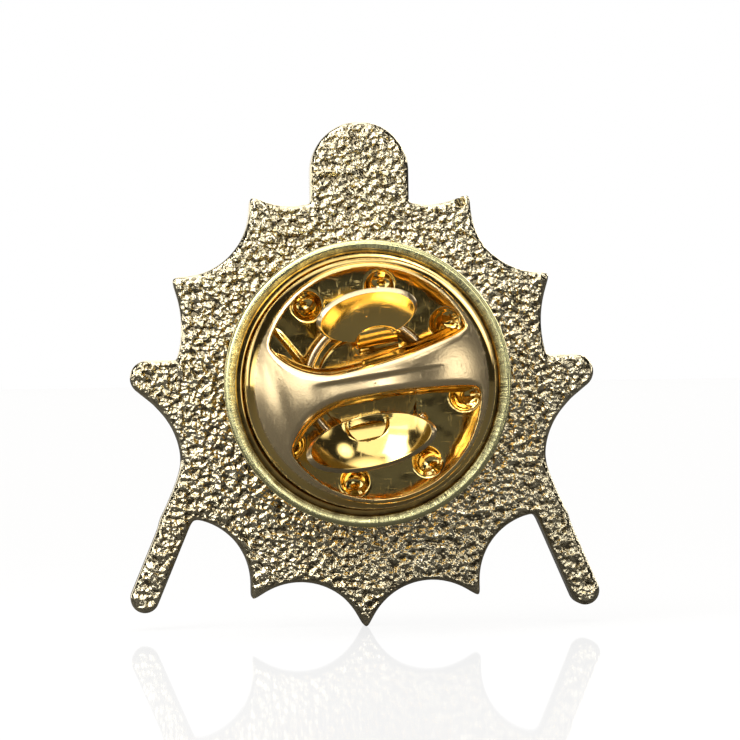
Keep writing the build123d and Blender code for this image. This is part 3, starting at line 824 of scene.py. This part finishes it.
# %% A metal finish
def metal(name, main, other, rough, scale=300.0, scratches=0.5, peel=0.5, bump=0.004, extra=None):
    """A plated metal: slow colour change, fine wear in the bump, and roughness that follows the wear."""
    material = bpy.data.materials.new(name)
    material.use_nodes = True
    tree = material.node_tree
    shader = tree.nodes["Principled BSDF"]
    shader.inputs["Metallic"].default_value = 1.0
    place = tree.nodes.new("ShaderNodeTexCoord").outputs["Object"]
    base = plated_colour(tree, place, main, other, scale)
    fine = add(tree, "ShaderNodeGroup", {"node_tree": wear}, Coordinate=place, Scratches=scratches, Peel=peel)
    height = fine.outputs[0]
    roughness = span(tree, fine.outputs[1], 0.0, 1.0, rough, rough + 0.12)
    if extra:
        height, base, roughness = extra(tree, place, height, base, roughness)
    bumped = add(tree, "ShaderNodeBump", n0=1.0, n1=bump * MM, Height=height).outputs[0]
    tree.links.new(bumped, shader.inputs["Normal"])
    tree.links.new(base, shader.inputs["Base Color"])
    tree.links.new(roughness, shader.inputs["Roughness"])
    return material


# %% [markdown]
# ### Cast back
# Between the modelled grains lies a finer set, a quarter of a millimetre apart and worm-like, too fine
# for the mesh. It is a noise squeezed towards its two ends, so that it reads as pebbles with narrow
# valleys. The valleys are darkened with painted shade.

# %% Badge metal
def cast_skin(tree, place, height, base, roughness):
    """Pebbles and a finer grain in the bump, with painted shade in the valleys, where the cast attribute is
    1.
    """
    cast = add(tree, "ShaderNodeAttribute", {"attribute_name": "cast"}).outputs["Fac"]
    pebble = span(tree, grain(tree, place, 3300.0, detail=1.5, roughness=0.45), 0.36, 0.62)
    fine = grain(tree, place, 9000.0, detail=1.0)
    tall = times(tree, plus(tree, times(tree, pebble, 30.0), times(tree, fine, 4.0)), cast)
    # painted shade: the pebbles' valleys are darkened towards near black
    valley_shade = times(tree, span(tree, pebble, 0.35, 0.0), cast)
    shaded_base = blend(tree, times(tree, valley_shade, 0.8), base, (0.10, 0.07, 0.03, 1))
    return plus(tree, height, tall), shaded_base, plus(tree, roughness, times(tree, cast, 0.04))


badge_metal = metal(
    "badge_metal", (0.90, 0.80, 0.55, 1), (0.84, 0.73, 0.48, 1), 0.1, scale=260.0, bump=0.004, extra=cast_skin
)
badge.data.materials.append(badge_metal)

# %% [markdown]
# ### Clutch
# The disc and wings are bright from the press, the rolled rim is brushed outwards and greener, and the
# cap is satin where fingers and the tumbling drum reach it. A dark line of painted shade sits in the groove
# between rim and cap. It crosses two pieces, so it is a node group.

# %% Group: painted shade in the groove between rim and cap
groove, given, result = group(
    "groove_painted_shade",
    [("Coordinate", "NodeSocketVector", (0, 0, 0)), ("Colour", "NodeSocketColor", (1, 1, 1, 1))],
    [("Colour", "NodeSocketColor")],
)
_, out = from_post(groove, given.outputs[0])
inner_side = span(groove, out, 5.06 * MM, 5.2 * MM)
outer_side = span(groove, out, 5.5 * MM, 5.36 * MM)
patchy = span(groove, grain(groove, given.outputs[0], 1800.0), 0.3, 0.6, 0.35, 0.85)
amount = times(groove, times(groove, inner_side, outer_side), patchy)
# painted shade: a patchy dark line in the groove between rim and cap
groove.links.new(blend(groove, amount, given.outputs[1], (0.13, 0.085, 0.03, 1)), result.inputs[0])


# adds the groove's painted shade to a colour of the disc or the cap
def groove_shaded(tree, place, base):
    return add(tree, "ShaderNodeGroup", {"node_tree": groove}, Coordinate=place, Colour=base).outputs[0]


# %% Clutch metals
def radial_brush(tree, place, height, base, roughness):
    """Marks that run outwards on the rim, from a noise of the angle round the post, and a slow waviness."""
    upright, out = from_post(tree, place)
    turn = add(tree, "ShaderNodeTexGradient", {"gradient_type": "RADIAL"}, n0=upright).outputs[1]
    marks = add(tree, "ShaderNodeTexNoise", {"noise_dimensions": "1D"}, W=times(tree, turn, 420.0)).outputs[0]
    rim = span(tree, out, 5.2 * MM, 5.4 * MM)
    brushed = plus(tree, height, times(tree, times(tree, marks, rim), 2.2))
    wavy = plus(tree, brushed, times(tree, grain(tree, place, 620.0), 12.0))
    return wavy, groove_shaded(tree, place, blend(tree, rim, base, (0.96, 0.90, 0.46, 1))), roughness


def satin_skin(tree, place, height, base, roughness):
    """A matt grain, a rougher and a paler skin where the satin attribute is 1."""
    satin = add(tree, "ShaderNodeAttribute", {"attribute_name": "satin"}).outputs["Fac"]
    matt = grain(tree, place, 12000.0, detail=2.0)
    tall = plus(tree, height, times(tree, times(tree, matt, satin), 2.0))
    rough = plus(tree, roughness, times(tree, satin, 0.18))
    return tall, groove_shaded(tree, place, blend(tree, satin, base, (0.98, 0.76, 0.43, 1))), rough


disc_metal = metal(
    "clutch_brass", (1.0, 0.78, 0.30, 1), (0.98, 0.68, 0.20, 1), 0.08,
    scratches=0.1, bump=0.003, extra=radial_brush,
)
cap_metal = metal(
    "clutch_satin", (1.0, 0.72, 0.24, 1), (0.98, 0.64, 0.19, 1), 0.1,
    scratches=0.2, bump=0.003, extra=satin_skin,
)
wing_metal = metal("wing_brass", (1.0, 0.72, 0.24, 1), (0.98, 0.65, 0.19, 1), 0.1, scratches=0.15, bump=0.004)
cut_metal = metal(
    "wing_cut_edge", (0.80, 0.64, 0.38, 1), (0.66, 0.50, 0.28, 1), 0.28, scratches=1.0, bump=0.006
)
post_metal = metal("post_metal", (0.86, 0.72, 0.42, 1), (0.78, 0.70, 0.52, 1), 0.15, scratches=1.0)
tin = metal(
    "solder", (0.66, 0.64, 0.60, 1), (0.52, 0.50, 0.46, 1), 0.3, scale=900.0, peel=2.0, bump=0.01
)
wire = metal("spring_wire", (0.80, 0.62, 0.36, 1), (0.70, 0.55, 0.34, 1), 0.18, scratches=1.0)
WORN_BY = [
    (disc, disc_metal), (cap, cap_metal), (upper, wing_metal), (upper, cut_metal), (lower, wing_metal),
    (lower, cut_metal), (post, post_metal), (solder, tin), (spring, wire),
]
for piece, finish in WORN_BY:
    piece.data.materials.append(finish)


# %% [markdown]
# ### Enamel
# Soft enamel is coloured paint poured in the sunk fields and baked. It is glossy, with a faint orange
# peel and a few specks, and not metallic.

# %% Enamels
def enamel(name, main, other):
    material = bpy.data.materials.new(name)
    material.use_nodes = True
    tree = material.node_tree
    shader = tree.nodes["Principled BSDF"]
    shader.inputs["Roughness"].default_value = 0.12
    shader.inputs["Coat Weight"].default_value = 0.6
    shader.inputs["Coat Roughness"].default_value = 0.04
    place = tree.nodes.new("ShaderNodeTexCoord").outputs["Object"]
    colour = plated_colour(tree, place, main, other, 700.0)
    speck = times(tree, span(tree, grain(tree, place, 14000.0, detail=0.0), 0.70, 0.76), 0.5)
    tree.links.new(blend(tree, speck, colour, (0.5, 0.55, 0.6, 1)), shader.inputs["Base Color"])
    bumped = add(tree, "ShaderNodeBump", n0=1.0, n1=0.01 * MM, Height=grain(tree, place, 1100.0)).outputs[0]
    tree.links.new(bumped, shader.inputs["Normal"])
    return material


blue = enamel("enamel_blue", (0.012, 0.05, 0.22, 1), (0.02, 0.075, 0.30, 1))
white = enamel("enamel_white", (0.80, 0.79, 0.74, 1), (0.74, 0.73, 0.69, 1))
for node, material in (("enamel_rays", blue), ("enamel_head", blue), ("enamel_ring", white)):
    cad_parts[node].data.materials[0] = material

# %% [markdown]
# ## Floor, light and camera
# The pin stands on a pale glossy floor that mirrors it faintly, in front of white. Polished metal shows
# only what is around it, so the light is a set of soft boxes with dark between them: that contrast is
# what makes plating look like metal. The world holds the boxes, as smooth spots of direction.

# %% Floor
lowest = cad_box[0].z
floor_mesh = bpy.data.meshes.new("floor")
half = 3.0
corners = [(-half, -half), (half, -half), (half, half), (-half, half)]
floor_mesh.from_pydata([(*corner, lowest) for corner in corners], [], [(0, 1, 2, 3)])
floor = bpy.data.objects.new("floor", floor_mesh)
bpy.context.scene.collection.objects.link(floor)
floor_material = bpy.data.materials.new("pale_floor")
floor_material.use_nodes = True
tree = floor_material.node_tree
tree.nodes.clear()
paper = add(tree, "ShaderNodeEmission", n0=(1, 1, 1, 1), n1=0.9).outputs[0]
matt = add(tree, "ShaderNodeBsdfDiffuse", n0=(0.09, 0.09, 0.09, 1)).outputs[0]
lit = add(tree, "ShaderNodeAddShader", n0=paper, n1=matt).outputs[0]
gloss = add(tree, "ShaderNodeBsdfGlossy", n0=(1, 1, 1, 1), n1=0.03).outputs[0]
shown = add(tree, "ShaderNodeMixShader", n0=0.14, n1=lit, n2=gloss).outputs[0]
seen = tree.nodes.new("ShaderNodeLightPath").outputs["Is Camera Ray"]
mixed = add(tree, "ShaderNodeMixShader", n0=seen, n1=matt, n2=shown).outputs[0]
add(tree, "ShaderNodeOutputMaterial", n0=mixed)
floor_mesh.materials.append(floor_material)

# %% Light from all round
world = bpy.data.worlds.new("studio")
bpy.context.scene.world = world
world.use_nodes = True
tree = world.node_tree
tree.nodes.clear()
direction = tree.nodes.new("ShaderNodeTexCoord").outputs["Generated"]


def toward(azimuth, elevation):
    """Unit vector to a place round the object; azimuth 0 is behind the camera, 90 to the right."""
    a, e = math.radians(azimuth), math.radians(elevation)
    return (math.sin(a) * math.cos(e), -math.cos(a) * math.cos(e), math.sin(e))


# azimuth, elevation, half angle and softness in degrees, strength: first the camera's side, then the far side
BOXES = [
    (-62, 48, 13, 4, 5.0), (-88, 0, 14, 5, 2.4), (42, 44, 8, 4, 3.0), (66, 8, 11, 5, 2.2),
    (0, 84, 22, 8, 2.4), (28, -32, 5, 3, 1.4), (-34, -26, 5, 3, 1.4), (13, 11, 7, 4, 2.0),
    (180, 0, 14, 4, 1.0), (180, 42, 20, 8, 1.4), (130, 25, 14, 6, 3.0), (-140, 0, 16, 8, 1.8),
    (156, 24, 16, 8, 1.8),
]
AMBIENT = 0.022
total = AMBIENT
for azimuth, elevation, half_angle, soft, strength in BOXES:
    middle = toward(azimuth, elevation)
    cosine = add(tree, "ShaderNodeVectorMath", {"operation": "DOT_PRODUCT"}, n0=direction, n1=middle)
    outer, inner = (math.cos(math.radians(angle)) for angle in (half_angle + soft, half_angle - soft))
    total = plus(tree, total, span(tree, cosine.outputs["Value"], outer, inner, 0.0, strength))
surround = add(tree, "ShaderNodeBackground", n0=(1.0, 0.985, 0.96, 1), n1=total).outputs[0]
paper = add(tree, "ShaderNodeBackground", n0=(1, 1, 1, 1), n1=1.0).outputs[0]
seen = tree.nodes.new("ShaderNodeLightPath").outputs["Is Camera Ray"]
shown = add(tree, "ShaderNodeMixShader", n0=seen, n1=surround, n2=paper).outputs[0]
add(tree, "ShaderNodeOutputWorld", n0=shown)

# %% Near soft boxes
# The badge is small and these stand close, so its upper left is brighter than its lower right.
# name, place in millimetres, width and height in millimetres, brightness
NEAR_BOXES = [
    ("soft_key", (-40, -42, 40), (34, 34), 3.4), ("soft_front", (-24, -52, 34), (84, 50), 1.3),
    ("soft_left", (-48, -44, -4), (50, 40), 1.35), ("spark", (8, -60, 14), (7, 7), 7.0),
]
for name, place, size, brightness in NEAR_BOXES:
    lamp = bpy.data.lights.new(name, "AREA")
    lamp.shape, lamp.size, lamp.size_y = "RECTANGLE", size[0] * MM, size[1] * MM
    lamp.energy = brightness * math.pi * lamp.size * lamp.size_y
    stand = bpy.data.objects.new(name, lamp)
    bpy.context.scene.collection.objects.link(stand)
    stand.location = np.array(place) * MM
    stand.rotation_mode = "QUATERNION"
    stand.rotation_quaternion = (-stand.location).to_track_quat("-Z", "Y")
    stand.visible_camera = False

# %% Camera
VIEW_SIDE, VIEW_ROLL, LENS, WIDTH = -4.0, 0.9, 200.0, 0.0301
target = np.array([0.0003, 0.0, 0.00054])
camera_data = bpy.data.cameras.new("camera")
camera_data.lens = LENS
camera_data.clip_start, camera_data.clip_end = 0.001, 20
camera = bpy.data.objects.new("camera", camera_data)
bpy.context.scene.collection.objects.link(camera)
bpy.context.scene.camera = camera
away = np.array(toward(VIEW_SIDE, 0.0))
distance = WIDTH / 2 / (camera_data.sensor_width / 2 / LENS)
camera.location = target + away * distance
camera.rotation_mode = "XYZ"
camera.rotation_euler = (math.radians(90), math.radians(VIEW_ROLL), math.radians(VIEW_SIDE))
bpy.context.scene.view_settings.view_transform = "Standard"
print("camera", round(distance, 4), "m away")

# %% Sizes, and the end
print("cad", [tuple(round(v / MM, 2) for v in corner) for corner in cad_box])
